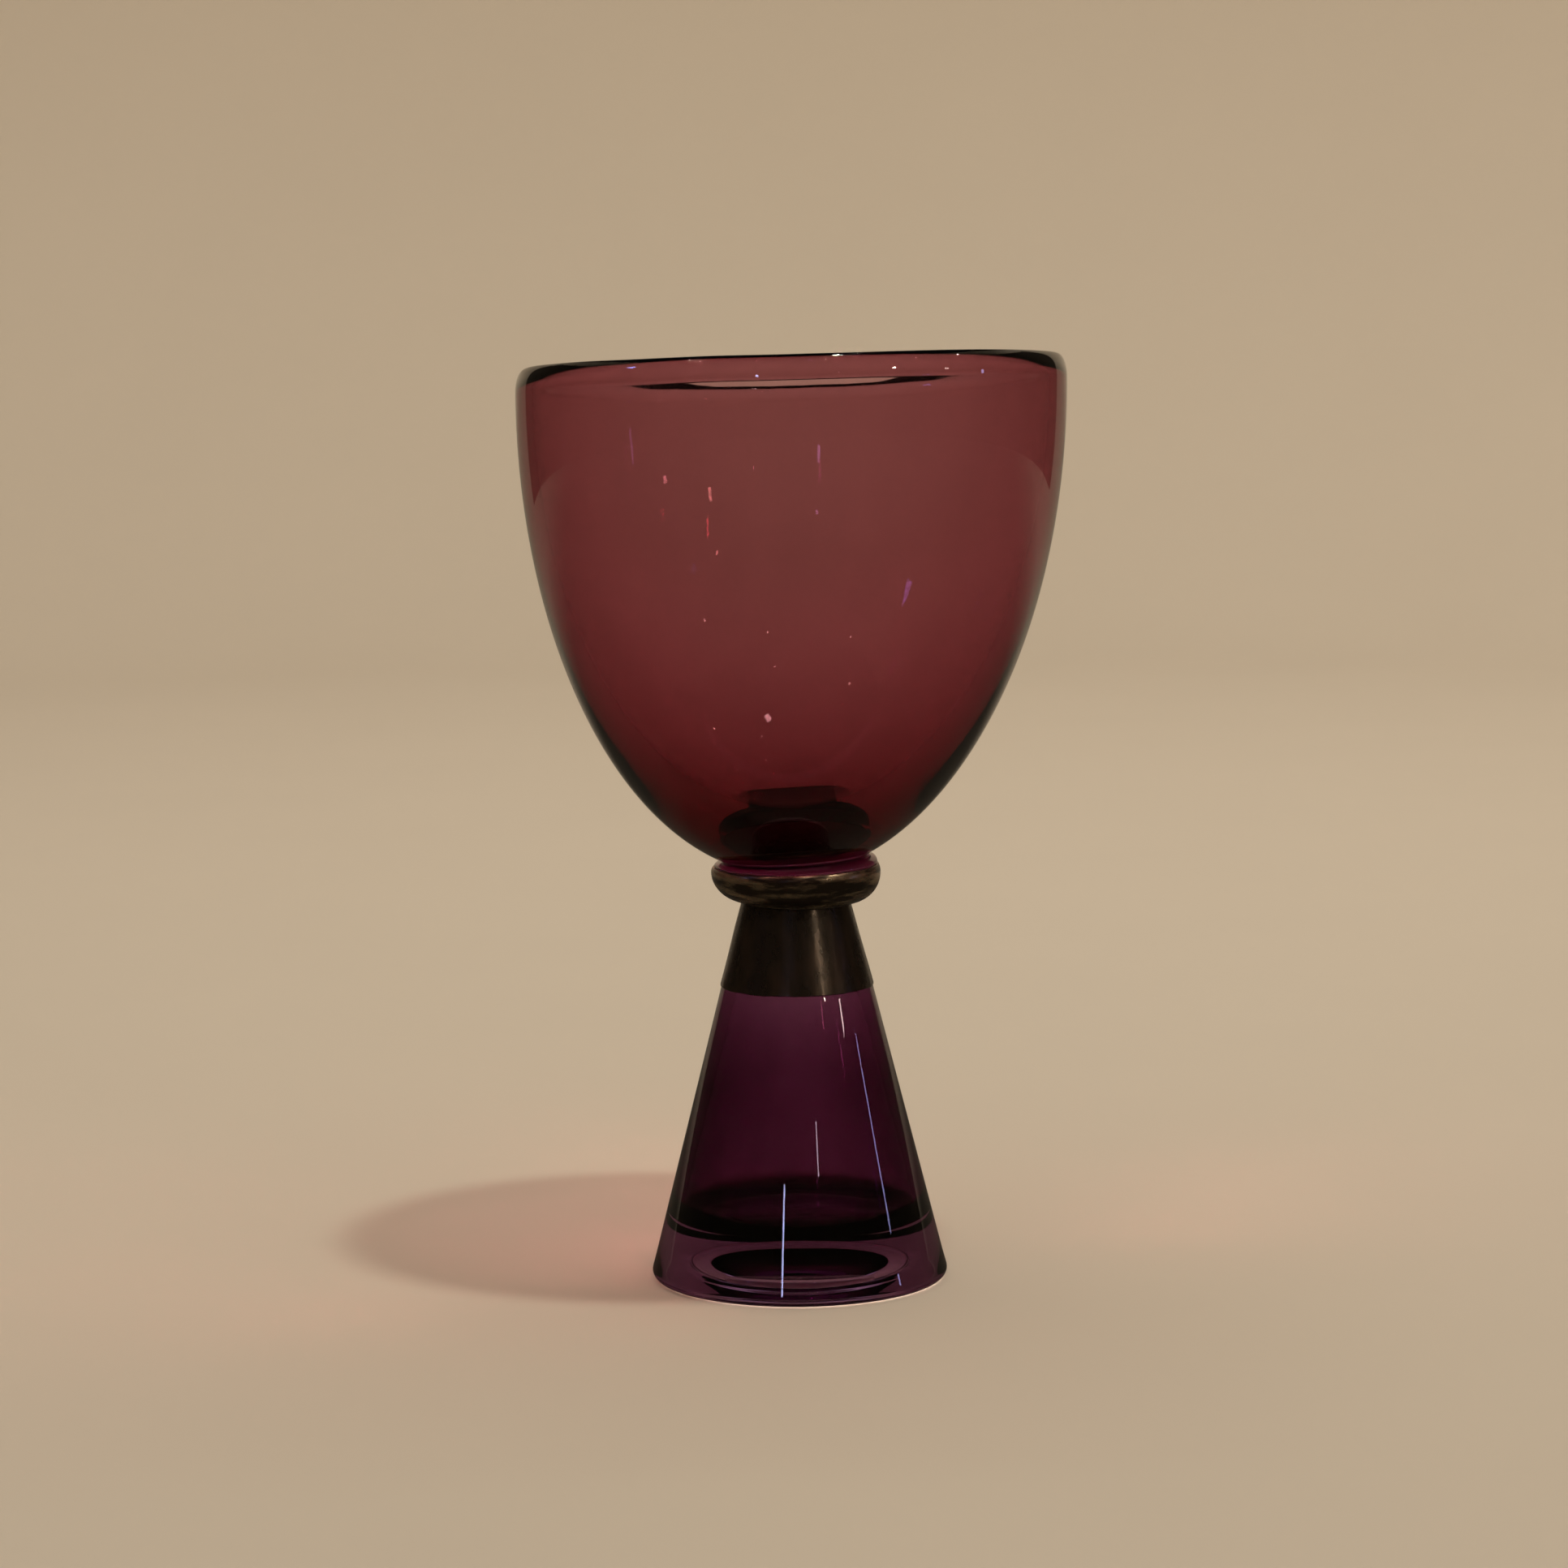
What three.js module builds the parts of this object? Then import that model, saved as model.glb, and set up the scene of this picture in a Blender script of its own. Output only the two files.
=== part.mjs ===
// Chalice: a blown glass bowl on a glass neck, held by a metal ring and sleeve on a hollow glass foot.
// Millimetres, +Z up. The origin is on the table, under the middle of the foot.
import * as THREE from "three";

// Foot: a hollow glass cone that stands on a flat ring
const footRadius = 39.4; // the cone carried straight down to the table
const footEdgeRounding = 2.1; // between the cone and the standing ring
const shoulderHeight = 77.5; // table to the ground shoulder that carries the sleeve
const shoulderRadius = 19.85; // the cone at that shoulder
const tipHeight = 98.5; // table to the flat top of the foot
const ledgeRadius = 21.2; // inside of the ring that touches the table
const ledgeHeight = 0.4; // table to the lower edge of the kick
const kickRadius = 19.5; // domed hollow kick under the foot, at its lower edge
const kickHeight = 7; // table to the middle of the kick
const kickFullness = 2.25; // 2 makes the kick an ellipse, more makes it squarer
const cavityFloorHeight = 16.3; // table to the floor inside the foot
const cavityFloorWall = 3.9; // glass beside the floor, measured level
const cavityShoulderWall = 4.3; // glass beside the shoulder, measured level
const cavityRounding = 5; // between the floor and the wall inside
const cavityRoofDrop = 3.5; // fall of the cavity's roof from the mouth to the wall
const mouthLength = 9; // straight hole in the tip for the spigot

// Sleeve: a thin metal ferrule over the tip of the foot
const sleeveProud = 0.35; // step from the foot's cone out to the sleeve
const sleeveWall = 0.6; // sheet thickness, measured level
const sleeveTopRadius = 14.35; // outside of the sleeve where the ring sits

// Solder between the sleeve and the ring
const seamThickness = 0.3;
const seamBead = 0.3; // how far the bead stands out from the sleeve

// Ring: a bulging metal collar
const ringRadius = 22.2; // at its widest
const ringBellyRise = 7.6; // underside to the widest circle
const ringTopRise = 1.8; // widest circle to the flat top
const ringCrownReach = 5.6; // level half-axis of the curve over the widest circle
const ringCrownRise = 4.2; // upright half-axis of that curve

// Neck: a glass spool with a spigot
const spigotRadius = 7;
const spigotChamfer = 0.8;
const spigotRecess = 0.5; // the spigot stops this far short of the mouth's lower end
const flangeSetback = 0.25; // step from the ring's top edge in to the neck's flange
const flangeRise = 1.55; // height of the flange's round edge
const grooveDepth = 0.9; // groove under the bowl
const grooveRise = 0.75; // groove to the top of the neck

// Bowl: half an egg of glass
const bowlHeight = 127.8; // ground seat to the sides of the lip
const bowlRadius = 71.1; // outside, at its widest
const bowlWidestDrop = 7.1; // sides of the lip down to where the wall turns upright
const bowlWall = 4.6; // glass at the rim
const bowlFloor = 9; // glass over the seat
const bowlSeatRadius = 20.5; // flat ground underneath
const lipRounding = 6; // height over which the lip is rounded
const lipFrontRise = 4.8; // front of the lip above its sides
const lipBackDrop = 8.6; // back of the lip below its sides

// Bonds and clearances
const bondFilm = 0.3; // adhesive between two flat or tapered faces
const spigotFilm = 0.6; // room around the spigot in the mouth
const bondInset = 0.6; // adhesive kept back from a visible edge
const seatInset = 0.6; // the neck's top is smaller than the bowl's seat by this
const filmClearance = 0.05; // between adhesive and a round or tapered face
const ringClearance = 0.3; // between the spigot and the ring's bore

// Facets
const facetsRound = 48; // around the axis
const stepsBowl = 14; // along each side of the bowl
const stepsCurve = 7; // along the ring's belly and the kick
const stepsEdge = 4; // along small roundings and the lip's quarters

// Levels, from the table up
const mouthBottom = tipHeight - mouthLength;
const cavityRoofHeight = mouthBottom - cavityRoofDrop;
const sleeveTop = tipHeight + bondFilm + sleeveWall;
const ringBottom = sleeveTop + seamThickness;
const ringWidest = ringBottom + ringBellyRise;
const ringTop = ringWidest + ringTopRise;
const neckBottom = ringTop + bondFilm;
const grooveHeight = neckBottom + flangeRise;
const neckTop = grooveHeight + grooveRise;
const bowlSeat = neckTop + bondFilm;
const bowlTop = bowlSeat + bowlHeight;

// Radii that pieces share
const mouthRadius = spigotRadius + spigotFilm;
const ringBore = spigotRadius + ringClearance;
const neckTopRadius = bowlSeatRadius - seatInset;
const sleeveFootRadius = shoulderRadius + sleeveProud;

// Slopes, as radius lost for each millimetre of height
const coneSlope = (footRadius - shoulderRadius) / shoulderHeight;
const sleeveSlope = (sleeveFootRadius - sleeveTopRadius) / (sleeveTop - shoulderHeight);

const coneRadius = (z) => footRadius - coneSlope * z;
const sleeveRadius = (z) => sleeveFootRadius - sleeveSlope * (z - shoulderHeight);
const sleeveBoreRadius = (z) => sleeveRadius(z) - sleeveWall;
const tipRadius = (z) => sleeveBoreRadius(z) - bondFilm;

// The wall inside the foot runs straight from the floor past the shoulder
const cavityFloorRadius = coneRadius(cavityFloorHeight) - cavityFloorWall;
const cavityShoulderRadius = shoulderRadius - cavityShoulderWall;
const cavitySlope = (cavityFloorRadius - cavityShoulderRadius) / (shoulderHeight - cavityFloorHeight);
const cavityRadius = (z) => cavityFloorRadius - cavitySlope * (z - cavityFloorHeight);

const quarter = Math.PI / 2;

// Points [radius, height] along part of an ellipse, both ends included
function ellipseArc(centre, halfAxes, startAngle, endAngle, steps) {
  const points = [];
  for (let i = 0; i <= steps; i += 1) {
    const angle = startAngle + ((endAngle - startAngle) * i) / steps;
    points.push([centre[0] + halfAxes[0] * Math.cos(angle), centre[1] + halfAxes[1] * Math.sin(angle)]);
  }
  return points;
}

// Points from the middle of the kick down its side to its lower edge
function kickCurve() {
  const points = [];
  for (let i = 0; i <= stepsCurve; i += 1) {
    const angle = (quarter * i) / stepsCurve;
    const radius = kickRadius * Math.sin(angle) ** (2 / kickFullness);
    points.push([radius, ledgeHeight + (kickHeight - ledgeHeight) * Math.cos(angle)]);
  }
  return points;
}

// A piece turned around the axis. Its profile runs with the solid on its left
// and either starts and ends on the axis or closes on itself.
function turnedPiece(name, material, profile) {
  const points = profile.map(([radius, height]) => new THREE.Vector2(radius, height));
  const geometry = new THREE.LatheGeometry(points, facetsRound);
  geometry.rotateX(Math.PI / 2);
  const piece = new THREE.Mesh(geometry, material);
  piece.name = name;
  return piece;
}

// A washer with flat faces, closed on itself
function washerProfile(innerRadius, outerRadius, bottom, top) {
  return [
    [innerRadius, bottom],
    [outerRadius, bottom],
    [outerRadius, top],
    [innerRadius, top],
    [innerRadius, bottom],
  ];
}

function footProfile() {
  const coneTilt = Math.atan(coneSlope);
  const edgeTop = footEdgeRounding * (1 + Math.sin(coneTilt));
  const edgeCentre = coneRadius(edgeTop) - footEdgeRounding * Math.cos(coneTilt);
  const edge = [footEdgeRounding, footEdgeRounding];
  const floorCorner = cavityRadius(cavityFloorHeight + cavityRounding) - cavityRounding;
  const corner = [cavityRounding, cavityRounding];
  return [
    ...kickCurve(),
    [ledgeRadius, 0],
    ...ellipseArc([edgeCentre, footEdgeRounding], edge, -quarter, coneTilt, stepsEdge),
    [shoulderRadius, shoulderHeight],
    [tipRadius(shoulderHeight), shoulderHeight],
    [tipRadius(tipHeight), tipHeight],
    [mouthRadius, tipHeight],
    [mouthRadius, mouthBottom],
    [cavityRadius(cavityRoofHeight), cavityRoofHeight],
    ...ellipseArc([floorCorner, cavityFloorHeight + cavityRounding], corner, 0, -quarter, stepsEdge),
    [0, cavityFloorHeight],
  ];
}

function sleeveProfile() {
  const plateBottom = sleeveTop - sleeveWall;
  return [
    [sleeveBoreRadius(shoulderHeight), shoulderHeight],
    [sleeveFootRadius, shoulderHeight],
    [sleeveTopRadius, sleeveTop],
    [mouthRadius, sleeveTop],
    [mouthRadius, plateBottom],
    [sleeveBoreRadius(plateBottom), plateBottom],
    [sleeveBoreRadius(shoulderHeight), shoulderHeight],
  ];
}

// The film follows the tip's taper and folds in over its flat top
function footBondProfile() {
  const filmTop = tipHeight + bondFilm;
  return [
    [tipRadius(shoulderHeight) + filmClearance, shoulderHeight],
    [sleeveBoreRadius(shoulderHeight) - filmClearance, shoulderHeight],
    [sleeveBoreRadius(filmTop) - filmClearance, filmTop],
    [mouthRadius, filmTop],
    [mouthRadius, tipHeight],
    [tipRadius(tipHeight) + filmClearance, tipHeight],
    [tipRadius(shoulderHeight) + filmClearance, shoulderHeight],
  ];
}

function seamProfile() {
  const halfThickness = seamThickness / 2;
  const bead = [seamBead, halfThickness];
  return [
    [mouthRadius, sleeveTop],
    ...ellipseArc([sleeveTopRadius, sleeveTop + halfThickness], bead, -quarter, quarter, stepsEdge),
    [mouthRadius, ringBottom],
    [mouthRadius, sleeveTop],
  ];
}

const ringTopAngle = Math.asin(ringTopRise / ringCrownRise);
const ringTopRadius = ringRadius - ringCrownReach * (1 - Math.cos(ringTopAngle));

function ringProfile() {
  const belly = [ringRadius - sleeveTopRadius, ringBellyRise];
  const crownCentre = [ringRadius - ringCrownReach, ringWidest];
  const crown = ellipseArc(crownCentre, [ringCrownReach, ringCrownRise], 0, ringTopAngle, stepsEdge);
  return [
    [ringBore, ringBottom],
    ...ellipseArc([sleeveTopRadius, ringWidest], belly, -quarter, 0, stepsCurve),
    ...crown.slice(1),
    [ringBore, ringTop],
    [ringBore, ringBottom],
  ];
}

const flangeRadius = ringTopRadius - flangeSetback;

function neckProfile() {
  const grooveRadius = neckTopRadius - grooveDepth;
  const spigotBottom = mouthBottom + spigotRecess;
  const flangeEdge = [flangeRadius - grooveRadius, flangeRise];
  return [
    [0, spigotBottom],
    [spigotRadius - spigotChamfer, spigotBottom],
    [spigotRadius, spigotBottom + spigotChamfer],
    [spigotRadius, neckBottom],
    ...ellipseArc([grooveRadius, neckBottom], flangeEdge, 0, quarter, stepsEdge),
    [neckTopRadius, neckTop],
    [0, neckTop],
  ];
}

// The outside is an ellipse that starts at the seat and turns upright under the lip
function bowlProfile() {
  const lip = [bowlWall / 2, lipRounding];
  const widest = bowlTop - bowlWidestDrop;
  const seatAngle = -Math.acos(bowlSeatRadius / bowlRadius);
  const outerDepth = (widest - bowlSeat) / Math.sin(-seatAngle);
  const innerRadius = bowlRadius - bowlWall;
  const innerDepth = widest - bowlSeat - bowlFloor;
  return [
    [0, bowlSeat],
    ...ellipseArc([0, widest], [bowlRadius, outerDepth], seatAngle, 0, stepsBowl),
    ...ellipseArc([bowlRadius - lip[0], bowlTop - lip[1]], lip, 0, 2 * quarter, 2 * stepsEdge),
    ...ellipseArc([0, widest], [innerRadius, innerDepth], 0, -quarter, stepsBowl),
  ];
}

// The bowl was opened out by hand, so its lip runs from a high front to a low back
function slantedLip(bowl) {
  const points = bowl.geometry.getAttribute("position");
  const slope = (lipFrontRise + lipBackDrop) / 2;
  const sag = (lipFrontRise - lipBackDrop) / 2;
  for (let i = 0; i < points.count; i += 1) {
    const forward = -points.getY(i) / (bowlRadius - bowlWall / 2);
    const share = (points.getZ(i) - bowlSeat) / bowlHeight;
    points.setZ(i, points.getZ(i) + share ** 2 * (slope * forward + sag * forward ** 2));
  }
  return bowl;
}

const burgundyGlass = new THREE.MeshStandardMaterial({ color: 0x6d302f, roughness: 0.05, metalness: 0 });
const purpleGlass = new THREE.MeshStandardMaterial({ color: 0x3f1d33, roughness: 0.05, metalness: 0 });
const blackenedMetal = new THREE.MeshStandardMaterial({ color: 0x2a231d, roughness: 0.45, metalness: 0.9 });
const brightSolder = new THREE.MeshStandardMaterial({ color: 0xa59a88, roughness: 0.35, metalness: 1 });
const clearAdhesive = new THREE.MeshStandardMaterial({ color: 0xcfc6b6, roughness: 0.3, metalness: 0 });

const spigotBondProfile = washerProfile(
  spigotRadius + filmClearance,
  mouthRadius - filmClearance,
  mouthBottom + spigotRecess + spigotChamfer,
  tipHeight,
);
const neckBondProfile = washerProfile(ringBore, flangeRadius - bondInset, ringTop, neckBottom);
const bowlBondProfile = [
  [0, neckTop],
  [neckTopRadius - bondInset, neckTop],
  [neckTopRadius - bondInset, bowlSeat],
  [0, bowlSeat],
];

const chalice = new THREE.Group();
chalice.add(
  turnedPiece("foot", purpleGlass, footProfile()),
  turnedPiece("foot_bond", clearAdhesive, footBondProfile()),
  turnedPiece("sleeve", blackenedMetal, sleeveProfile()),
  turnedPiece("solder_seam", brightSolder, seamProfile()),
  turnedPiece("collar_ring", blackenedMetal, ringProfile()),
  turnedPiece("spigot_bond", clearAdhesive, spigotBondProfile),
  turnedPiece("neck_bond", clearAdhesive, neckBondProfile),
  turnedPiece("neck", purpleGlass, neckProfile()),
  turnedPiece("bowl_bond", clearAdhesive, bowlBondProfile),
  slantedLip(turnedPiece("bowl", burgundyGlass, bowlProfile())),
);

export default chalice;
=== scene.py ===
import math

import bpy
from bpy.props import FloatProperty, FloatVectorProperty, IntProperty, PointerProperty
from mathutils import Matrix, Vector


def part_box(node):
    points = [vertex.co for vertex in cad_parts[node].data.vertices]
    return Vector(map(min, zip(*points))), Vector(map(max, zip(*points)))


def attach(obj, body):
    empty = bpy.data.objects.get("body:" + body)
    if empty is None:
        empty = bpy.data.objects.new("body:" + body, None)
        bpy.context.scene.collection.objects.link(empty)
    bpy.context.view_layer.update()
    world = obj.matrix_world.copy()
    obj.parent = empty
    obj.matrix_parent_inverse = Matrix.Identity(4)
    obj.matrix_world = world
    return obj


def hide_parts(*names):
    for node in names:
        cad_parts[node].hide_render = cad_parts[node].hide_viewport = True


bl_info = {
    "name": "Glass chalice",
    "version": (1, 0, 0),
    "blender": (4, 5, 0),
    "location": "View3D > Sidebar > Chalice",
    "description": "Dresses a packed chalice with blown glass, blackened metal and a plain studio",
    "category": "Object",
}

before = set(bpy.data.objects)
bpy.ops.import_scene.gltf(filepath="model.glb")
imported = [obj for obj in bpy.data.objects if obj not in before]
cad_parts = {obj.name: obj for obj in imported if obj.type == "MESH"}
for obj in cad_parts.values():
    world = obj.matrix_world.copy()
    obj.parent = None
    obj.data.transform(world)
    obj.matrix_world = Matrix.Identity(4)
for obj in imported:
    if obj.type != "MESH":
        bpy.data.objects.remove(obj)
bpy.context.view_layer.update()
MM = 0.001
QUARTER = math.pi / 2

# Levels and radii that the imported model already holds
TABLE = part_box("foot")[0].z
FOOT_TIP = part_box("foot")[1].z
SLEEVE_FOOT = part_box("sleeve")[0].z
SLEEVE_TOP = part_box("sleeve")[1].z
SLEEVE_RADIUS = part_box("sleeve")[1].x
RING_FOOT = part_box("collar_ring")[0].z
RING_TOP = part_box("collar_ring")[1].z
RING_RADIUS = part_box("collar_ring")[1].x
SPIGOT_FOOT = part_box("neck")[0].z
NECK_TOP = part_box("neck")[1].z
FLANGE_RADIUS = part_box("neck")[1].x
FLANGE_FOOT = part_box("neck_bond")[1].z
BOND_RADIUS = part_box("bowl_bond")[1].x
BOWL_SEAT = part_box("bowl")[0].z
BOWL_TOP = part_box("bowl")[1].z
BOWL_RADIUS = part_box("bowl")[1].x

# Steps along the curves of a profile
WIDE_STEP = 1.2 * MM
TIGHT_STEP = 0.4 * MM

# Room and edges of the hidden joints
SPIGOT_ROOM = 0.6 * MM
SPIGOT_CHAMFER = 0.8 * MM
BORE_ROOM = 0.3 * MM
SLEEVE_FILM = 0.3 * MM
BOND_INSET = 0.6 * MM
FOOT_BOND_RISE = 0.4 * MM
WETTING = 0.06 * MM
MOUTH_DEPTH = 9 * MM
MOUTH_TAPER = 3.5 * MM

# Clear glass between a colour layer and the air, and the blunting of the layer's edges
LAYER_GAP = 0.05 * MM
LAYER_EDGE = 0.1 * MM

# Crown of the ring: how far it reaches in from the widest circle, and how high its ellipse is
CROWN = (5.6 * MM, 4.2 * MM)

# The wobble fades out this near the axis and the table
FADE_RADIUS = 12 * MM
FADE_HEIGHT = 6 * MM

# Crinkles are drawn out upwards, and the sleeve's edge is wavy over this height
CRINKLE_SQUEEZE = (1.0, 1.0, 0.16)
WAVY_HEIGHT = 4 * MM

# Distance between the lip's rises and falls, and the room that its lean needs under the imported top
SWAY_SPAN = 30 * MM
LEAN_ROOM = 0.2 * MM

# Degrees at either end of the curve of leans
MOST_LEAN = 4.0

# Points of the turned grid that are nearer than this, in metres, are one
MERGE_DISTANCE = 2e-6

# Floor and wall of the studio, in metres
FLOOR_LEVEL = -0.2 * MM
FLOOR_DISC = 0.4
FLOOR_REACH = 1.6
WALL_BEND = 0.5
WALL_TOP = 2.4
BEND_STEP = 0.06
SWEEP_FACETS = 96

# Lamps and dark cards round the chalice, in metres
STAGE_MIDDLE = (0.0, 0.0, 0.12)
KEY_DISTANCE = 1.9
STRIP_DISTANCE = 1.5
SPOT_DISTANCE = 1.57
SPOT_SIZE = 0.018
CARD_DISTANCE = 1.58
CARD_TOP = 1.1
CARD_STEPS = 12


def linear(code):
    """Turns an sRGB hex colour into the linear colour that a shader takes."""
    parts = [int(code[i : i + 2], 16) / 255 for i in (0, 2, 4)]
    return [p / 12.92 if p <= 0.04045 else ((p + 0.055) / 1.055) ** 2.4 for p in parts]


def length(name, default, description):
    """A size, in metres."""
    return FloatProperty(
        name=name, description=description, default=default, min=0.0, unit="LENGTH", precision=5
    )


def angle(name, degrees, description):
    """A tilt, written in degrees."""
    return FloatProperty(
        name=name, description=description, default=math.radians(degrees), unit="ROTATION"
    )


def number(name, default, description):
    """A plain value, from nought up."""
    return FloatProperty(name=name, description=description, default=default, min=0.0)


def power(name, watts, description):
    """The power of a lamp, in watts."""
    return FloatProperty(name=name, description=description, default=watts, min=0.0, unit="POWER")


def colour(name, code, description):
    """A colour, written as an sRGB hex value."""
    return FloatVectorProperty(
        name=name,
        description=description,
        default=linear(code),
        subtype="COLOR",
        size=3,
        min=0.0,
        max=1.0,
    )


class ChaliceSizes(bpy.types.PropertyGroup):
    """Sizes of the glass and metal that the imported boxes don't give."""

    facets: IntProperty(
        name="Facets", description="Steps around each turned piece", default=256, min=24
    )
    bowl_wall: length("Bowl wall", 4.6 * MM, "Glass at the rim of the bowl")
    bowl_lip: length("Bowl lip", 6.0 * MM, "Height over which the lip is rounded")
    bowl_floor: length("Bowl floor", 9.0 * MM, "Glass over the bowl's seat")
    bowl_layer_low: length("Bowl layer below", 1.4 * MM, "Burgundy layer at the bottom of the bowl")
    bowl_layer_high: length("Bowl layer above", 0.75 * MM, "Burgundy layer at the lip")
    bowl_widest_drop: length("Widest drop", 7.1 * MM, "From the lip's sides to the widest circle")
    bowl_seat_radius: length("Seat radius", 20.5 * MM, "Flat ground face under the bowl")
    colour_layer_low: length("Colour layer below", 0.8 * MM, "Dark purple layer at the floor")
    colour_layer_middle: length("Colour layer at mid foot", 0.85 * MM, "The same, half way up")
    colour_layer_high: length("Colour layer above", 0.28 * MM, "The same, at the top of the foot")
    foot_radius: length("Foot radius", 39.4 * MM, "Cone of the foot carried down to the table")
    foot_shoulder_radius: length("Shoulder radius", 19.85 * MM, "Cone at the sleeve's lower edge")
    foot_edge: length("Foot edge", 2.1 * MM, "Rounding between the cone and the standing ring")
    foot_floor: length("Foot floor", 16.3 * MM, "Height of the floor inside the foot")
    foot_floor_rounding: length("Floor rounding", 5.0 * MM, "Corner between wall and floor")
    foot_floor_wall: length("Wall at the floor", 3.9 * MM, "Level thickness beside the floor")
    foot_shoulder_wall: length("Wall at the shoulder", 4.3 * MM, "Level thickness at the sleeve")
    kick_radius: length("Kick radius", 19.5 * MM, "Domed hollow under the foot")
    kick_height: length("Kick height", 7.0 * MM, "Depth of the kick at its middle")
    kick_fullness: number("Kick fullness", 2.25, "2 is an ellipse, more is squarer")
    ledge_radius: length("Ledge radius", 21.2 * MM, "Inside of the ring that the foot stands on")
    ledge_height: length("Ledge height", 0.4 * MM, "Gap under the ledge round the kick")
    sleeve_sheet: length("Sleeve sheet", 0.6 * MM, "Thickness of the sleeve's metal")
    sleeve_top_radius: length("Sleeve top", 14.35 * MM, "Outside of the sleeve where the ring sits")
    ring_belly: length("Ring belly", 7.6 * MM, "Underside of the ring up to its widest circle")
    groove_depth: length("Groove depth", 0.9 * MM, "Groove in the neck under the bowl")
    groove_rise: length("Groove rise", 0.75 * MM, "From the groove up to the top of the neck")
    spigot_radius: length("Spigot radius", 7.0 * MM, "Part of the neck that reaches into the foot")


class ChaliceHand(bpy.types.PropertyGroup):
    """How far hand work carried each level away from a true turning."""

    lean_shoulder: angle("Lean at the shoulder", 0.2, "Right side up is positive")
    lean_seam: angle("Lean at the seam", -1.15, "Under the ring")
    lean_groove: angle("Lean at the groove", 2.25, "Over the ring")
    lean_seat: angle("Lean at the seat", 3.0, "Bottom of the bowl")
    lean_middle: angle("Lean at mid bowl", 2.0, "Half way up the bowl")
    lean_lip: angle("Lean at the lip", 1.0, "Top of the bowl")
    lip_front: length("Lip, front rise", 4.8 * MM, "Front of the lip above its sides")
    lip_sway: length("Lip sway", 0.5 * MM, "Most that the lip rises and falls along its round")
    lip_back: length("Lip, back drop", 8.6 * MM, "Back of the lip below its sides")
    wobble: length("Wobble", 0.25 * MM, "Slow unevenness of the blown glass")
    wobble_span: length("Wobble span", 55.0 * MM, "Distance between slow bumps")


class ChaliceColours(bpy.types.PropertyGroup):
    """Colours of the glass layers and of the metal. A density is absorption in each metre."""

    burgundy_pass: colour("Burgundy passes", "C41D65", "What the bowl's inner layer lets through")
    burgundy_density: number("Burgundy density", 1100.0, "Of the bowl's inner layer")
    rose_density: number("Rose density", 40.0, "Of the bowl's outer glass")
    purple_pass: colour("Purple passes", "B419A0", "What the foot's inner layer lets through")
    purple_density: number("Purple density", 2540.0, "Of the foot's inner layer")
    neck_density: number("Neck density", 160.0, "Of the same glass, solid in the neck")
    lilac_pass: colour("Lilac passes", "9F2893", "What the foot's outer glass lets through")
    lilac_density: number("Lilac density", 54.0, "Of the foot's outer glass")
    metal_dark: colour("Patina", "332C24", "Blackened metal")
    metal_rubbed: colour("Rubbed sleeve", "54463A", "Where handling has thinned the patina")
    ring_rubbed: colour("Rubbed ring", "C0AC8C", "Where handling has thinned the patina")
    solder: colour("Solder", "A59A88", "Bright seam")
    # Painted glow: the adhesive's purple tone is lightened so that the neck glass over its bond
    # shows light
    adhesive: colour("Adhesive", "6A2A55", "Bond seen against the dark glass")


class ChaliceStage(bpy.types.PropertyGroup):
    """Floor, backdrop and lamps."""

    backdrop: colour("Backdrop", "C6B9A6", "Floor and wall")
    ambient: number("Ambient", 0.8, "Strength of the world")
    shine: number("Shine", 1.0, "Share of the wall that glass and metal mirror")
    floor_shine: number("Floor shine", 0.12, "The same for the near floor and the front")
    card: number("Card", 0.03, "The same for the high wall")
    key_power: power("Key power", 12.0, "Lamp overhead, to the right")
    fill_power: power("Fill power", 11.0, "Wide lamp on the wall")
    strip_power: power("Strip power", 0.08, "Small lamps at the sides")
    spot_power: power("Spot power", 3.0, "Small lamps that sparkle")


def add_node(tree, kind, settings=None, links=()):
    """Adds a node with its settings, and joins sockets or values to inputs by name or in order."""
    node = tree.nodes.new(kind)
    for name, value in (settings or {}).items():
        setattr(node, name, value)
    for name, value in links.items() if isinstance(links, dict) else enumerate(links):
        if isinstance(value, bpy.types.NodeSocket):
            tree.links.new(value, node.inputs[name])
        else:
            node.inputs[name].default_value = value
    return node


def ellipse_arc(centre, half_axes, start, end, longest):
    """Points along part of an ellipse, in steps no longer than asked."""
    steps = max(4, math.ceil(abs(end - start) * max(half_axes) / longest))
    turns = [start + (end - start) * i / steps for i in range(steps + 1)]
    return [
        (centre[0] + half_axes[0] * math.cos(t), centre[1] + half_axes[1] * math.sin(t))
        for t in turns
    ]


def blunted(chain, reach):
    """Rounds each corner of a profile over the distance that real edges are worn or polished."""
    nearly_straight, most_of_a_side, steps = math.radians(155), 0.45, 6
    points = [Vector(p) for p in chain]
    result = []
    for i, corner in enumerate(points):
        if i in (0, len(points) - 1):
            result.append(corner)
            continue
        back, ahead = points[i - 1] - corner, points[i + 1] - corner
        if min(back.length, ahead.length) < 1e-9 or back.angle(ahead) > nearly_straight:
            result.append(corner)
            continue
        first = corner + back.normalized() * min(reach, back.length * most_of_a_side)
        last = corner + ahead.normalized() * min(reach, ahead.length * most_of_a_side)
        for k in range(steps + 1):
            t = k / steps
            result.append(first * (1 - t) ** 2 + corner * (2 * t * (1 - t)) + last * t ** 2)
    return result


def finely_stepped(chain, longest):
    """Divides the long straight runs of a profile so that they can bend."""
    result = [chain[0]]
    for start, end in zip(chain, chain[1:]):
        steps = max(1, math.ceil((end - start).length / longest))
        result.extend(start.lerp(end, k / steps) for k in range(1, steps + 1))
    return result


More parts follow.
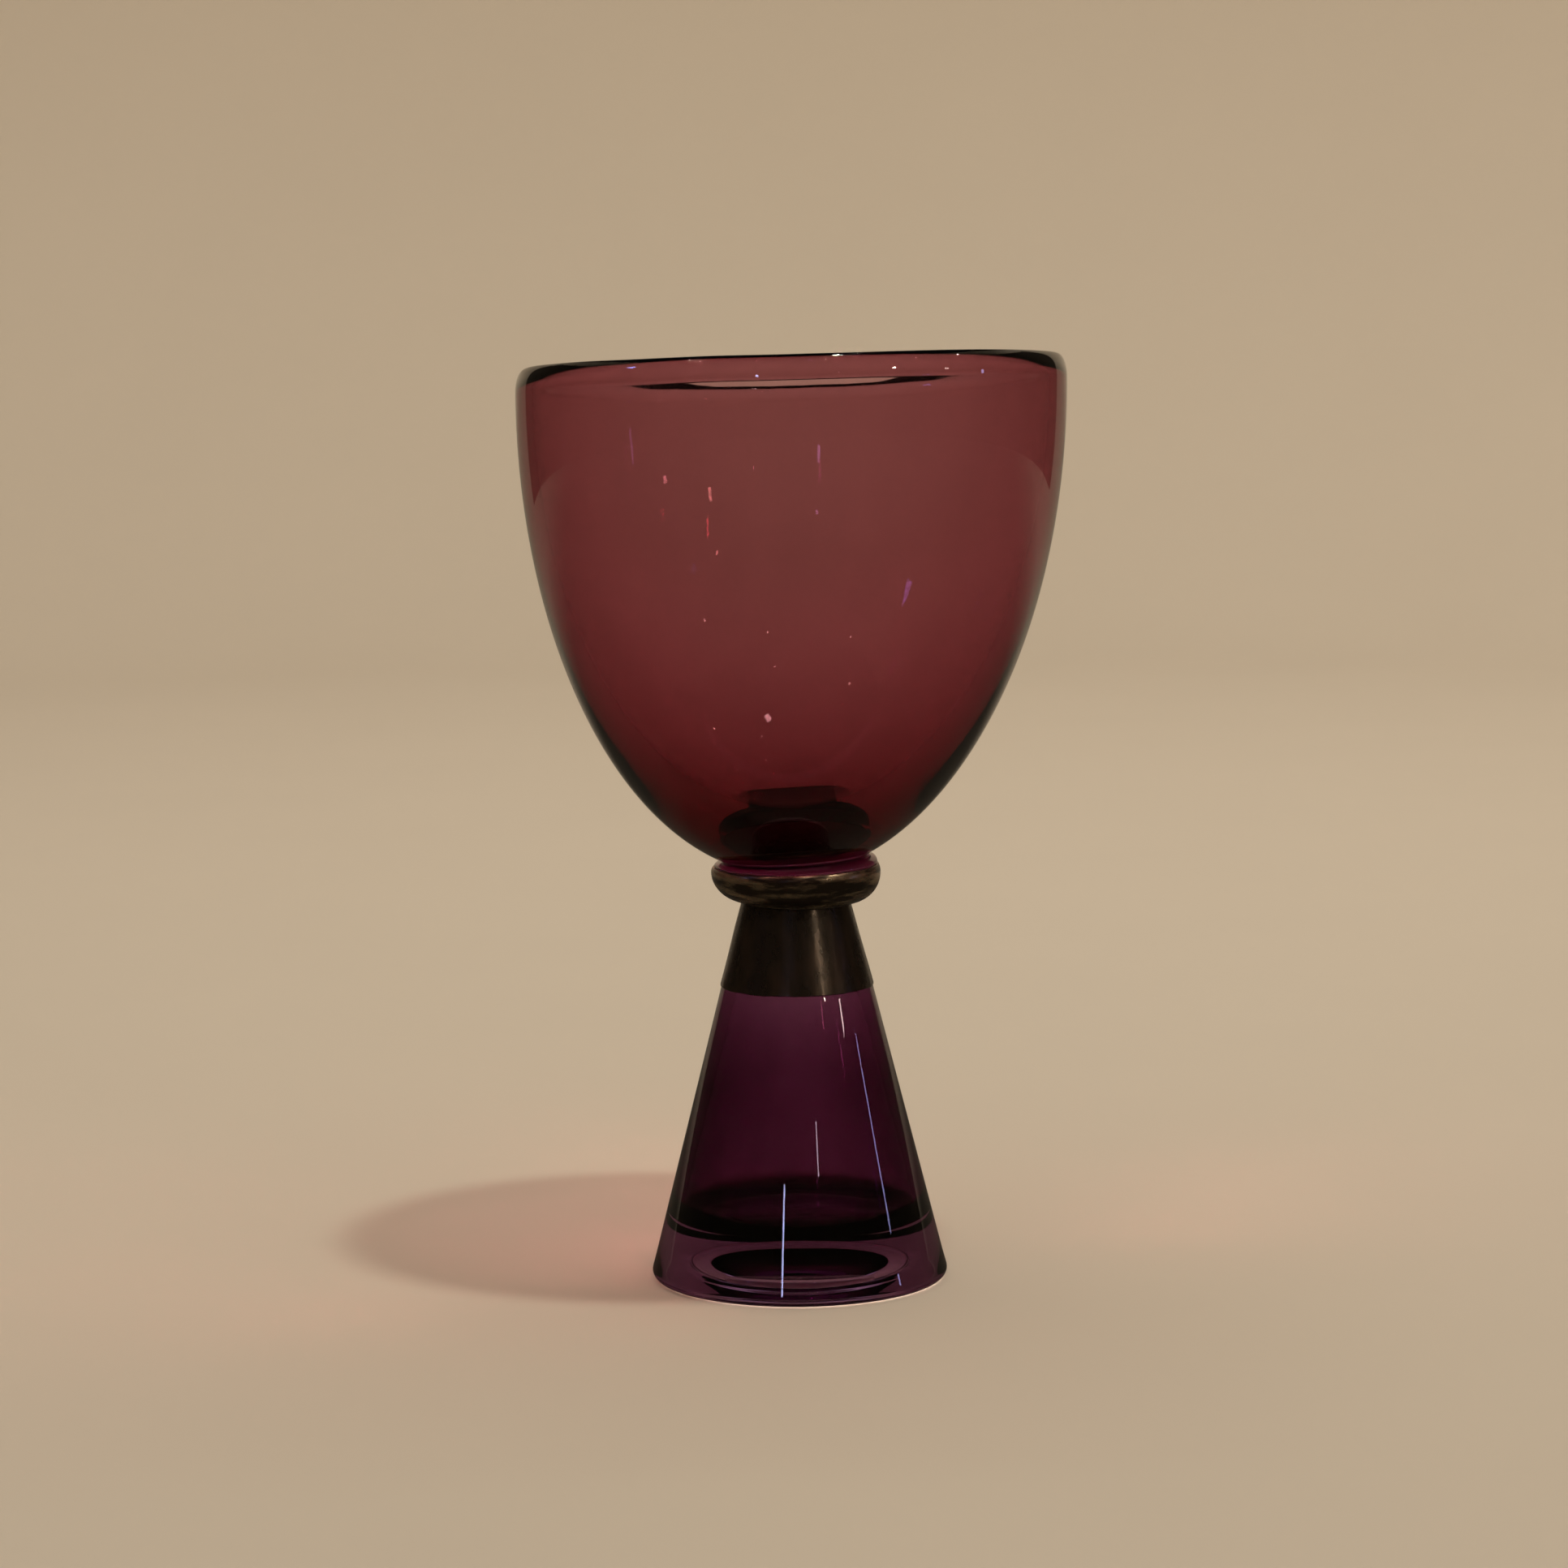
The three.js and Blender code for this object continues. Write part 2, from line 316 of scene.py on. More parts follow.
def lathe(tree, given):
    """Turns the profile: a column of points for each facet, a row for each point of the profile."""
    size = add_node(tree, "GeometryNodeAttributeDomainSize", None, (given["Profile"],))
    rows = size.outputs["Point Count"]
    columns = add_node(tree, "ShaderNodeMath", {"operation": "ADD"}, (given["Facets"], 1.0))
    grid = add_node(
        tree,
        "GeometryNodeMeshGrid",
        None,
        {"Vertices X": columns.outputs[0], "Vertices Y": rows},
    ).outputs["Mesh"]
    index = add_node(tree, "GeometryNodeInputIndex").outputs[0]
    row = add_node(tree, "ShaderNodeMath", {"operation": "MODULO"}, (index, rows)).outputs[0]
    point = add_node(tree, "GeometryNodeInputPosition").outputs[0]
    sample = add_node(
        tree,
        "GeometryNodeSampleIndex",
        {"data_type": "FLOAT_VECTOR"},
        {"Geometry": given["Profile"], "Value": point, "Index": row},
    ).outputs[0]
    profile = add_node(tree, "ShaderNodeSeparateXYZ", None, (sample,)).outputs
    passed = add_node(tree, "ShaderNodeMath", {"operation": "DIVIDE"}, (index, rows)).outputs[0]
    column = add_node(tree, "ShaderNodeMath", {"operation": "FLOOR"}, (passed,)).outputs[0]
    facet = add_node(
        tree, "ShaderNodeMath", {"operation": "DIVIDE"}, (math.tau, given["Facets"])
    ).outputs[0]
    turn = add_node(tree, "ShaderNodeMath", {"operation": "MULTIPLY"}, (column, facet)).outputs[0]
    sides = []
    for operation in ("COSINE", "SINE"):
        ratio = add_node(tree, "ShaderNodeMath", {"operation": operation}, (turn,)).outputs[0]
        side = add_node(tree, "ShaderNodeMath", {"operation": "MULTIPLY"}, (profile["X"], ratio))
        sides.append(side.outputs[0])
    place = add_node(tree, "ShaderNodeCombineXYZ", None, (*sides, profile["Z"])).outputs[0]
    turned = add_node(
        tree, "GeometryNodeSetPosition", None, {"Geometry": grid, "Position": place}
    ).outputs[0]
    return add_node(
        tree,
        "GeometryNodeMergeByDistance",
        None,
        {"Geometry": turned, "Distance": MERGE_DISTANCE},
    ).outputs[0]


def uneven(tree, given, closed):
    """Adds the slow wobble of blown glass and the crinkles of sheet pressed over it."""
    point = add_node(tree, "GeometryNodeInputPosition").outputs[0]
    height = add_node(tree, "ShaderNodeSeparateXYZ", None, (point,)).outputs["Z"]

    # The wobble draws inwards only, so the piece stays inside its packed box
    radial = add_node(
        tree, "ShaderNodeVectorMath", {"operation": "MULTIPLY"}, (point, (1.0, 1.0, 0.0))
    ).outputs[0]
    outward = add_node(
        tree, "ShaderNodeVectorMath", {"operation": "NORMALIZE"}, (radial,)
    ).outputs[0]
    radius = add_node(
        tree, "ShaderNodeVectorMath", {"operation": "LENGTH"}, (radial,)
    ).outputs["Value"]
    slow_scale = add_node(
        tree, "ShaderNodeMath", {"operation": "DIVIDE"}, (1.0, given["Wobble Span"])
    ).outputs[0]
    sway = add_node(
        tree,
        "ShaderNodeTexNoise",
        {"noise_dimensions": "4D"},
        {"Vector": point, "W": given["Seed"], "Scale": slow_scale, "Detail": 0.0},
    ).outputs[0]
    for value, most in ((radius, FADE_RADIUS), (height, FADE_HEIGHT)):
        share = add_node(
            tree, "ShaderNodeMapRange", None, {"Value": value, "From Max": most}
        ).outputs[0]
        sway = add_node(tree, "ShaderNodeMath", {"operation": "MULTIPLY"}, (sway, share)).outputs[0]
    depth = add_node(
        tree, "ShaderNodeMath", {"operation": "MULTIPLY"}, (given["Wobble"], -1.0)
    ).outputs[0]
    inward = add_node(tree, "ShaderNodeMath", {"operation": "MULTIPLY"}, (sway, depth)).outputs[0]

    # Upright crinkles, and the same noise as the sway of a lower edge
    squeezed = add_node(
        tree, "ShaderNodeVectorMath", {"operation": "MULTIPLY"}, (point, CRINKLE_SQUEEZE)
    ).outputs[0]
    fine_scale = add_node(
        tree, "ShaderNodeMath", {"operation": "DIVIDE"}, (1.0, given["Crinkle Width"])
    ).outputs[0]
    fine = add_node(
        tree,
        "ShaderNodeTexNoise",
        {"noise_dimensions": "4D"},
        {"Vector": squeezed, "W": given["Seed"], "Scale": fine_scale, "Detail": 1.0},
    ).outputs[0]
    fold = add_node(tree, "ShaderNodeMath", {"operation": "SUBTRACT"}, (fine, 0.5)).outputs[0]
    crinkle = add_node(
        tree, "ShaderNodeMath", {"operation": "MULTIPLY"}, (fold, given["Crinkle"])
    ).outputs[0]
    above = add_node(
        tree, "ShaderNodeMath", {"operation": "SUBTRACT"}, (height, given["Edge Height"])
    ).outputs[0]
    near_edge = add_node(
        tree,
        "ShaderNodeMapRange",
        None,
        {"Value": above, "From Max": WAVY_HEIGHT, "To Min": 1.0, "To Max": 0.0},
    ).outputs[0]
    wave = add_node(
        tree, "ShaderNodeMath", {"operation": "MULTIPLY"}, (fold, given["Edge Sway"])
    ).outputs[0]
    edge = add_node(tree, "ShaderNodeMath", {"operation": "MULTIPLY"}, (wave, near_edge)).outputs[0]

    swell = add_node(tree, "ShaderNodeMath", {"operation": "ADD"}, (inward, crinkle)).outputs[0]
    push = add_node(
        tree, "ShaderNodeVectorMath", {"operation": "SCALE"}, {0: outward, "Scale": swell}
    ).outputs[0]
    lift = add_node(tree, "ShaderNodeCombineXYZ", None, {2: edge}).outputs[0]
    moved = add_node(tree, "ShaderNodeVectorMath", {"operation": "ADD"}, (push, lift)).outputs[0]
    return add_node(
        tree, "GeometryNodeSetPosition", None, {"Geometry": closed, "Offset": moved}
    ).outputs[0]


def leaned(tree, worked, sizes, hand):
    """Leans each level by its own angle about the line of sight, and slants the lip."""
    point = add_node(tree, "GeometryNodeInputPosition").outputs[0]
    axes = add_node(tree, "ShaderNodeSeparateXYZ", None, (point,)).outputs
    stations = (
        (0.0, 0.0),
        (SLEEVE_FOOT, hand.lean_shoulder),
        (SLEEVE_TOP, hand.lean_seam),
        ((NECK_TOP + FLANGE_FOOT) / 2, hand.lean_groove),
        (BOWL_SEAT, hand.lean_seat),
        ((BOWL_SEAT + BOWL_TOP) / 2, hand.lean_middle),
        (BOWL_TOP, hand.lean_lip),
    )
    level = add_node(tree, "ShaderNodeMath", {"operation": "DIVIDE"}, (axes["Z"], BOWL_TOP))
    lean = add_node(tree, "ShaderNodeFloatCurve", None, {"Value": level.outputs[0]})
    curve = lean.mapping.curves[0]
    while len(curve.points) < len(stations):
        curve.points.new(0.5, 0.5)
    for knot, (height, tilt) in zip(curve.points, stations):
        knot.location = (height / BOWL_TOP, 0.5 + math.degrees(tilt) / (2 * MOST_LEAN))
        knot.handle_type = "AUTO_CLAMPED"
    lean.mapping.update()
    offset = add_node(
        tree, "ShaderNodeMath", {"operation": "SUBTRACT"}, (lean.outputs[0], 0.5)
    ).outputs[0]
    tilt = add_node(
        tree, "ShaderNodeMath", {"operation": "MULTIPLY"}, (offset, math.radians(2 * MOST_LEAN))
    ).outputs[0]
    slope = add_node(tree, "ShaderNodeMath", {"operation": "TANGENT"}, (tilt,)).outputs[0]
    rise = add_node(
        tree, "ShaderNodeMath", {"operation": "MULTIPLY"}, (axes["X"], slope)
    ).outputs[0]

    # The slant grows from nothing at the seat, and the lip sways a little along its round
    share = add_node(
        tree,
        "ShaderNodeMapRange",
        None,
        {"Value": axes["Z"], "From Min": BOWL_SEAT, "From Max": BOWL_TOP - hand.lip_front},
    ).outputs[0]
    forward = add_node(
        tree,
        "ShaderNodeMath",
        {"operation": "DIVIDE"},
        (axes["Y"], sizes.bowl_wall / 2 - BOWL_RADIUS),
    ).outputs[0]
    sag = add_node(
        tree,
        "ShaderNodeMath",
        {"operation": "MULTIPLY"},
        (forward, (hand.lip_front - hand.lip_back) / 2),
    ).outputs[0]
    pitch = add_node(
        tree, "ShaderNodeMath", {"operation": "ADD"}, (sag, (hand.lip_front + hand.lip_back) / 2)
    ).outputs[0]
    slant = add_node(tree, "ShaderNodeMath", {"operation": "MULTIPLY"}, (forward, pitch)).outputs[0]
    ruffle = add_node(
        tree, "ShaderNodeTexNoise", None, {"Vector": point, "Scale": 1 / SWAY_SPAN, "Detail": 0.0}
    ).outputs[0]
    sway = add_node(
        tree, "ShaderNodeMath", {"operation": "MULTIPLY"}, (ruffle, hand.lip_sway)
    ).outputs[0]
    lip = add_node(tree, "ShaderNodeMath", {"operation": "SUBTRACT"}, (slant, sway)).outputs[0]
    growth = add_node(tree, "ShaderNodeMath", {"operation": "MULTIPLY"}, (share, share)).outputs[0]
    grown = add_node(tree, "ShaderNodeMath", {"operation": "MULTIPLY"}, (lip, growth)).outputs[0]
    whole = add_node(tree, "ShaderNodeMath", {"operation": "ADD"}, (rise, grown)).outputs[0]
    drift = add_node(tree, "ShaderNodeCombineXYZ", None, {2: whole}).outputs[0]
    return add_node(
        tree, "GeometryNodeSetPosition", None, {"Geometry": worked, "Offset": drift}
    ).outputs[0]


def turning_tree(sizes, hand):
    """A lathe in nodes, with the wobble, crinkle and lean of hand work."""
    tree = bpy.data.node_groups.new("Turned by hand", "GeometryNodeTree")
    tree.is_modifier = True
    face = tree.interface
    for name, kind in (
        ("Profile", "NodeSocketGeometry"),
        ("Facets", "NodeSocketInt"),
        ("Wobble", "NodeSocketFloat"),
        ("Wobble Span", "NodeSocketFloat"),
        ("Crinkle", "NodeSocketFloat"),
        ("Crinkle Width", "NodeSocketFloat"),
        ("Edge Sway", "NodeSocketFloat"),
        ("Edge Height", "NodeSocketFloat"),
        ("Seed", "NodeSocketFloat"),
        ("Material", "NodeSocketMaterial"),
    ):
        face.new_socket(name, in_out="INPUT", socket_type=kind)
    face.new_socket("Piece", in_out="OUTPUT", socket_type="NodeSocketGeometry")
    given = add_node(tree, "NodeGroupInput").outputs
    worked = uneven(tree, given, lathe(tree, given))
    leaning = leaned(tree, worked, sizes, hand)
    smooth = add_node(tree, "GeometryNodeSetShadeSmooth", None, (leaning,)).outputs[0]
    realized = add_node(tree, "GeometryNodeRealizeInstances", None, (smooth,)).outputs[0]
    finished = add_node(
        tree, "GeometryNodeSetMaterial", None, {"Geometry": realized, "Material": given["Material"]}
    ).outputs[0]
    add_node(tree, "NodeGroupOutput", None, (finished,))
    return tree


def turned_piece(
    context, name, chain, material, slot, node=None, edge=0.25 * MM, step=WIDE_STEP, **extra
):
    """Turns a profile into a finished mesh that rides on the part."""
    scene = context.scene
    sizes, hand = scene.chalice_sizes, scene.chalice_hand
    tree = bpy.data.node_groups.get("Turned by hand") or turning_tree(sizes, hand)
    line = finely_stepped(blunted(chain, edge), step)
    mesh = bpy.data.meshes.new(name)
    mesh.from_pydata(
        [(p[0], 0.0, p[1]) for p in line], [(i, i + 1) for i in range(len(line) - 1)], []
    )
    piece = bpy.data.objects.new(name, mesh)
    scene.collection.objects.link(piece)
    values = {
        "Facets": sizes.facets,
        "Wobble": hand.wobble,
        "Wobble Span": hand.wobble_span,
        "Crinkle": 0.0,
        "Crinkle Width": 4 * MM,
        "Edge Sway": 0.0,
        "Edge Height": 0.0,
        "Seed": 3.7,
        "Material": material,
    }
    values.update(extra)
    turning = piece.modifiers.new("Turning", "NODES")
    turning.node_group = tree
    for item in tree.interface.items_tree:
        if item.in_out == "INPUT" and item.name in values:
            turning[item.identifier] = values[item.name]
    context.view_layer.update()
    solid = bpy.data.meshes.new_from_object(
        piece.evaluated_get(context.evaluated_depsgraph_get())
    )
    piece.modifiers.clear()
    piece.data = solid
    solid.name = name
    bpy.data.meshes.remove(mesh)
    if not solid.polygons:
        raise RuntimeError("turning left no faces on " + name)
    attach(piece, "root")
    if node:
        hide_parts(node)
    return piece


def new_material(name):
    """An empty material and its output node."""
    material = bpy.data.materials.new(name)
    material.use_nodes = True
    tree = material.node_tree
    tree.nodes.clear()
    return material, tree, add_node(tree, "ShaderNodeOutputMaterial")


def ripple(tree, size, depth, strength):
    """A bump with humps of the given size, in object space."""
    where = add_node(tree, "ShaderNodeTexCoord").outputs["Object"]
    humps = add_node(
        tree, "ShaderNodeTexNoise", None, {"Vector": where, "Scale": 1 / size, "Detail": 2.0}
    ).outputs[0]
    return add_node(
        tree, "ShaderNodeBump", None, {"Strength": strength, "Distance": depth, "Height": humps}
    ).outputs[0]


def blown_glass(name, passes, density):
    """Fire-polished blown glass: sharp gloss, ripples that bend the view, and light let through."""
    material, tree, out = new_material(name)
    normal = ripple(tree, size=14 * MM, depth=0.05 * MM, strength=0.25)
    glass = add_node(
        tree,
        "ShaderNodeBsdfPrincipled",
        None,
        {
            "Base Color": (*linear("FFFFFF"), 1.0),
            "Roughness": 0.0,
            "IOR": 1.5,
            "Transmission Weight": 1.0,
            "Normal": normal,
        },
    ).outputs[0]
    # Lamps shine straight through to the table
    clear = add_node(tree, "ShaderNodeBsdfTransparent").outputs[0]
    lamp = add_node(tree, "ShaderNodeLightPath").outputs["Is Shadow Ray"]
    surface = add_node(tree, "ShaderNodeMixShader", None, (lamp, glass, clear)).outputs[0]
    body = add_node(
        tree, "ShaderNodeVolumeAbsorption", None, {"Color": (*passes, 1.0), "Density": density}
    ).outputs[0]
    tree.links.new(surface, out.inputs["Surface"])
    tree.links.new(body, out.inputs["Volume"])
    return material


def colour_layer(name, passes, density, streak):
    """Coloured glass fused to paler glass: no surface of its own, and deeper where it is thick."""
    material, tree, out = new_material(name)
    where = add_node(tree, "ShaderNodeTexCoord").outputs["Object"]
    scaled = add_node(
        tree, "ShaderNodeMapping", None, {"Vector": where, "Scale": (1.0, 1.0, 0.35)}
    ).outputs[0]
    clouds = add_node(
        tree, "ShaderNodeTexNoise", None, {"Vector": scaled, "Scale": 1 / (22 * MM), "Detail": 3.0}
    ).outputs[0]
    shade = add_node(
        tree,
        "ShaderNodeMapRange",
        None,
        {"Value": clouds, "From Min": 0.3, "From Max": 0.7, "To Min": 1 - streak},
    ).outputs[0]
    passing = add_node(tree, "ShaderNodeBsdfTransparent", None, {"Color": shade}).outputs[0]
    body = add_node(
        tree, "ShaderNodeVolumeAbsorption", None, {"Color": (*passes, 1.0), "Density": density}
    ).outputs[0]
    tree.links.new(passing, out.inputs["Surface"])
    tree.links.new(body, out.inputs["Volume"])
    return material


def blackened_metal(name, dark, rubbed, stretch, rough):
    """Brass under a black patina: dull and streaked, warmer and smoother where it is rubbed."""
    material, tree, out = new_material(name)
    where = add_node(tree, "ShaderNodeTexCoord").outputs["Object"]
    scaled = add_node(
        tree, "ShaderNodeMapping", None, {"Vector": where, "Scale": stretch}
    ).outputs[0]
    streaks = add_node(
        tree,
        "ShaderNodeTexNoise",
        None,
        {"Vector": scaled, "Scale": 1 / (5 * MM), "Detail": 5.0, "Roughness": 0.6},
    ).outputs[0]
    worn = add_node(
        tree, "ShaderNodeMapRange", None, {"Value": streaks, "From Min": 0.45, "From Max": 0.8}
    ).outputs[0]
    tint = add_node(
        tree,
        "ShaderNodeMix",
        {"data_type": "RGBA"},
        {0: worn, 6: (*dark, 1.0), 7: (*rubbed, 1.0)},
    ).outputs[2]
    dull = add_node(
        tree,
        "ShaderNodeMapRange",
        None,
        {"Value": streaks, "To Min": rough + 0.12, "To Max": rough - 0.12},
    ).outputs[0]
    normal = add_node(
        tree, "ShaderNodeBump", None, {"Strength": 0.8, "Distance": 0.12 * MM, "Height": streaks}
    ).outputs[0]
    metal = add_node(
        tree,
        "ShaderNodeBsdfPrincipled",
        None,
        {"Base Color": tint, "Metallic": 0.75, "Roughness": dull, "Normal": normal},
    ).outputs[0]
    tree.links.new(metal, out.inputs["Surface"])
    return material


def soft_solder(name, tone):
    """Soft solder: a bright, slightly lumpy bead."""
    material, tree, out = new_material(name)
    normal = ripple(tree, size=0.8 * MM, depth=0.05 * MM, strength=0.6)
    metal = add_node(
        tree,
        "ShaderNodeBsdfPrincipled",
        None,
        {"Base Color": (*tone, 1.0), "Metallic": 1.0, "Roughness": 0.35, "Normal": normal},
    ).outputs[0]
    tree.links.new(metal, out.inputs["Surface"])
    return material


def cured_adhesive(name, tone):
    """Clear adhesive against dark glass and metal: a dark, wetted patch, a little cloudy; its purple
    tone is lightened as a painted glow that shows through the neck glass.
    """
    material, tree, out = new_material(name)
    where = add_node(tree, "ShaderNodeTexCoord").outputs["Object"]
    clouds = add_node(
        tree, "ShaderNodeTexNoise", None, {"Vector": where, "Scale": 1 / (3 * MM)}
    ).outputs[0]
    tint = add_node(
        tree,
        "ShaderNodeMix",
        {"data_type": "RGBA"},
        {0: clouds, 6: (*[t * 0.6 for t in tone], 1.0), 7: (*tone, 1.0)},
    ).outputs[2]
    bond = add_node(
        tree,
        "ShaderNodeBsdfPrincipled",
        None,
        {"Base Color": tint, "Roughness": 0.35, "IOR": 1.5},
    ).outputs[0]
    tree.links.new(bond, out.inputs["Surface"])
    return material


def cone_radius(sizes, height):
    """Outside of the foot at a height."""
    fall = (sizes.foot_radius - sizes.foot_shoulder_radius) / SLEEVE_FOOT
    return sizes.foot_radius - fall * height


def cavity_radius(sizes, height):
    """Inside of the foot at a height."""
    low = cone_radius(sizes, sizes.foot_floor) - sizes.foot_floor_wall
    high = sizes.foot_shoulder_radius - sizes.foot_shoulder_wall
    return low + (high - low) * (height - sizes.foot_floor) / (SLEEVE_FOOT - sizes.foot_floor)


def sleeve_radius(sizes, height):
    """Outside of the sleeve at a height."""
    share = (height - SLEEVE_FOOT) / (SLEEVE_TOP - SLEEVE_FOOT)
    return SLEEVE_RADIUS + (sizes.sleeve_top_radius - SLEEVE_RADIUS) * share


def tip_radius(sizes, height):
    """Outside of the foot's tip, under the sleeve, at a height."""
    return sleeve_radius(sizes, height) - (sizes.sleeve_sheet + SLEEVE_FILM)


class CHALICE_OT_bowl(bpy.types.Operator):
    """Blows the bowl: rose glass outside, burgundy inside"""

    bl_idname = "chalice.bowl"
    bl_label = "Bowl"

    def execute(self, context):
        scene = context.scene
        sizes, hand, hues = scene.chalice_sizes, scene.chalice_hand, scene.chalice_colours
        sides = BOWL_TOP - hand.lip_front
        widest, lip = sides - sizes.bowl_widest_drop, sides - LEAN_ROOM
        rounding, half = sizes.bowl_lip, sizes.bowl_wall / 2
        seat_turn = -math.acos(sizes.bowl_seat_radius / BOWL_RADIUS)
        depth = (widest - BOWL_SEAT) / math.sin(-seat_turn)
        inner = BOWL_RADIUS - sizes.bowl_wall
        inner_depth = widest - BOWL_SEAT - sizes.bowl_floor
        middle, rim = (0.0, widest), (BOWL_RADIUS - half, lip - rounding)
        outline = [
            (0.0, BOWL_SEAT),
            *ellipse_arc(middle, (BOWL_RADIUS, depth), seat_turn, 0.0, WIDE_STEP),
            *ellipse_arc(rim, (half, rounding), 0.0, math.pi, TIGHT_STEP),
            *ellipse_arc(middle, (inner, inner_depth), 0.0, -QUARTER, WIDE_STEP)[:-1],
            (0.0, widest - inner_depth),
        ]
        glass = blown_glass("Blown rose glass", hues.burgundy_pass, hues.rose_density)
        turned_piece(context, "bowl_glass", outline, glass, "burgundy_glass", "bowl")

        near = LAYER_GAP
        far, far_high = near + sizes.bowl_layer_low, near + sizes.bowl_layer_high
        outside, inside = (inner + far_high, inner_depth + far), (inner + near, inner_depth + near)
        thick, thin = (half - far_high, rounding - far_high), (half - near, rounding - near)
        layer = [
            (0.0, widest - inner_depth - far),
            *ellipse_arc(middle, outside, -QUARTER, 0.0, WIDE_STEP)[1:],
            *ellipse_arc(rim, thick, math.pi, QUARTER, TIGHT_STEP),
            *ellipse_arc(rim, thin, QUARTER, math.pi, TIGHT_STEP),
            *ellipse_arc(middle, inside, 0.0, -QUARTER, WIDE_STEP)[:-1],
            (0.0, widest - inner_depth - near),
        ]
        burgundy = colour_layer(
            "Burgundy glass overlay", hues.burgundy_pass, hues.burgundy_density, streak=0.03
        )
        turned_piece(
            context, "bowl_colour_layer", layer, burgundy, "burgundy_glass", edge=LAYER_EDGE
        )
        return {"FINISHED"}


class CHALICE_OT_foot(bpy.types.Operator):
    """Blows the hollow foot: lilac glass outside, dark purple inside"""

    bl_idname = "chalice.foot"
    bl_label = "Foot"

    def execute(self, context):
        sizes, hues = context.scene.chalice_sizes, context.scene.chalice_colours
        tilt = math.atan((sizes.foot_radius - sizes.foot_shoulder_radius) / SLEEVE_FOOT)
        edge_top = sizes.foot_edge * (1 + math.sin(tilt))
        edge_centre = cone_radius(sizes, edge_top) - sizes.foot_edge * math.cos(tilt)
        edge = (edge_centre, sizes.foot_edge)
        floor, rounding = sizes.foot_floor, sizes.foot_floor_rounding
        corner = (cavity_radius(sizes, floor + rounding) - rounding, floor + rounding)
        ledge, kick_depth = sizes.ledge_height, sizes.kick_height - sizes.ledge_height
        fullness, kick_steps = 2 / sizes.kick_fullness, 40
        turns = [QUARTER * i / kick_steps for i in range(1, kick_steps + 1)]
        kick = [
            (sizes.kick_radius * math.sin(t) ** fullness, ledge + kick_depth * math.cos(t))
            for t in turns
        ]
        mouth, mouth_foot = sizes.spigot_radius + SPIGOT_ROOM, FOOT_TIP - MOUTH_DEPTH
        roof = mouth_foot - MOUTH_TAPER
        outline = [
            (0.0, sizes.kick_height),
            *kick,
            (sizes.ledge_radius, TABLE),
            *ellipse_arc(edge, (sizes.foot_edge,) * 2, -QUARTER, tilt, TIGHT_STEP),
            (sizes.foot_shoulder_radius, SLEEVE_FOOT),
            (tip_radius(sizes, SLEEVE_FOOT), SLEEVE_FOOT),
            (tip_radius(sizes, FOOT_TIP), FOOT_TIP),
            (mouth, FOOT_TIP),
            (mouth, mouth_foot),
            (cavity_radius(sizes, roof), roof),
            *ellipse_arc(corner, (rounding,) * 2, 0.0, -QUARTER, TIGHT_STEP),
            (0.0, floor),
        ]
        glass = blown_glass("Blown lilac glass", hues.lilac_pass, hues.lilac_density)
        turned_piece(context, "foot_glass", outline, glass, "purple_glass", "foot")

        near = LAYER_GAP
        far, far_high = near + sizes.colour_layer_low, near + sizes.colour_layer_high
        middle = (floor + roof) / 2
        # The layer gathers in the corner of the floor, so its outside turns more tightly there
        tight = 0.5 * rounding + far
        low = floor - far + tight
        gathered = (cavity_radius(sizes, low) + far - tight, low)
        layer = [
            (0.0, floor - far),
            *ellipse_arc(gathered, (tight,) * 2, -QUARTER, 0.0, TIGHT_STEP),
            (cavity_radius(sizes, middle) + near + sizes.colour_layer_middle, middle),
            (cavity_radius(sizes, roof) + far_high, roof),
            (cavity_radius(sizes, roof) + near, roof),
            *ellipse_arc(corner, (rounding + near,) * 2, 0.0, -QUARTER, TIGHT_STEP),
            (0.0, floor - near),
        ]
        purple = colour_layer(
            "Purple glass overlay", hues.purple_pass, hues.purple_density, streak=0.1
        )
        turned_piece(context, "foot_colour_layer", layer, purple, "purple_glass", edge=LAYER_EDGE)
        return {"FINISHED"}


class CHALICE_OT_neck(bpy.types.Operator):
    """Makes the purple glass neck that carries the bowl"""

    bl_idname = "chalice.neck"
    bl_label = "Neck"

    def execute(self, context):
        sizes, hues = context.scene.chalice_sizes, context.scene.chalice_colours
        spigot, top = sizes.spigot_radius, BOND_RADIUS + BOND_INSET
        groove, groove_height = top - sizes.groove_depth, NECK_TOP - sizes.groove_rise
        bulge = (FLANGE_RADIUS - groove, groove_height - FLANGE_FOOT)
        outline = [
            (0.0, SPIGOT_FOOT),
            (spigot - SPIGOT_CHAMFER, SPIGOT_FOOT),
            (spigot, SPIGOT_FOOT + SPIGOT_CHAMFER),
            (spigot, FLANGE_FOOT),
            *ellipse_arc((groove, FLANGE_FOOT), bulge, 0.0, QUARTER, longest=0.25 * MM),
            (top, NECK_TOP),
            (0.0, NECK_TOP),
        ]
        glass = blown_glass("Purple glass, solid", hues.purple_pass, hues.neck_density)
        turned_piece(
            context,
            "neck_glass",
            outline,
            glass,
            "purple_glass",
            "neck",
            edge=0.15 * MM,
            step=0.8 * MM,
        )
        return {"FINISHED"}


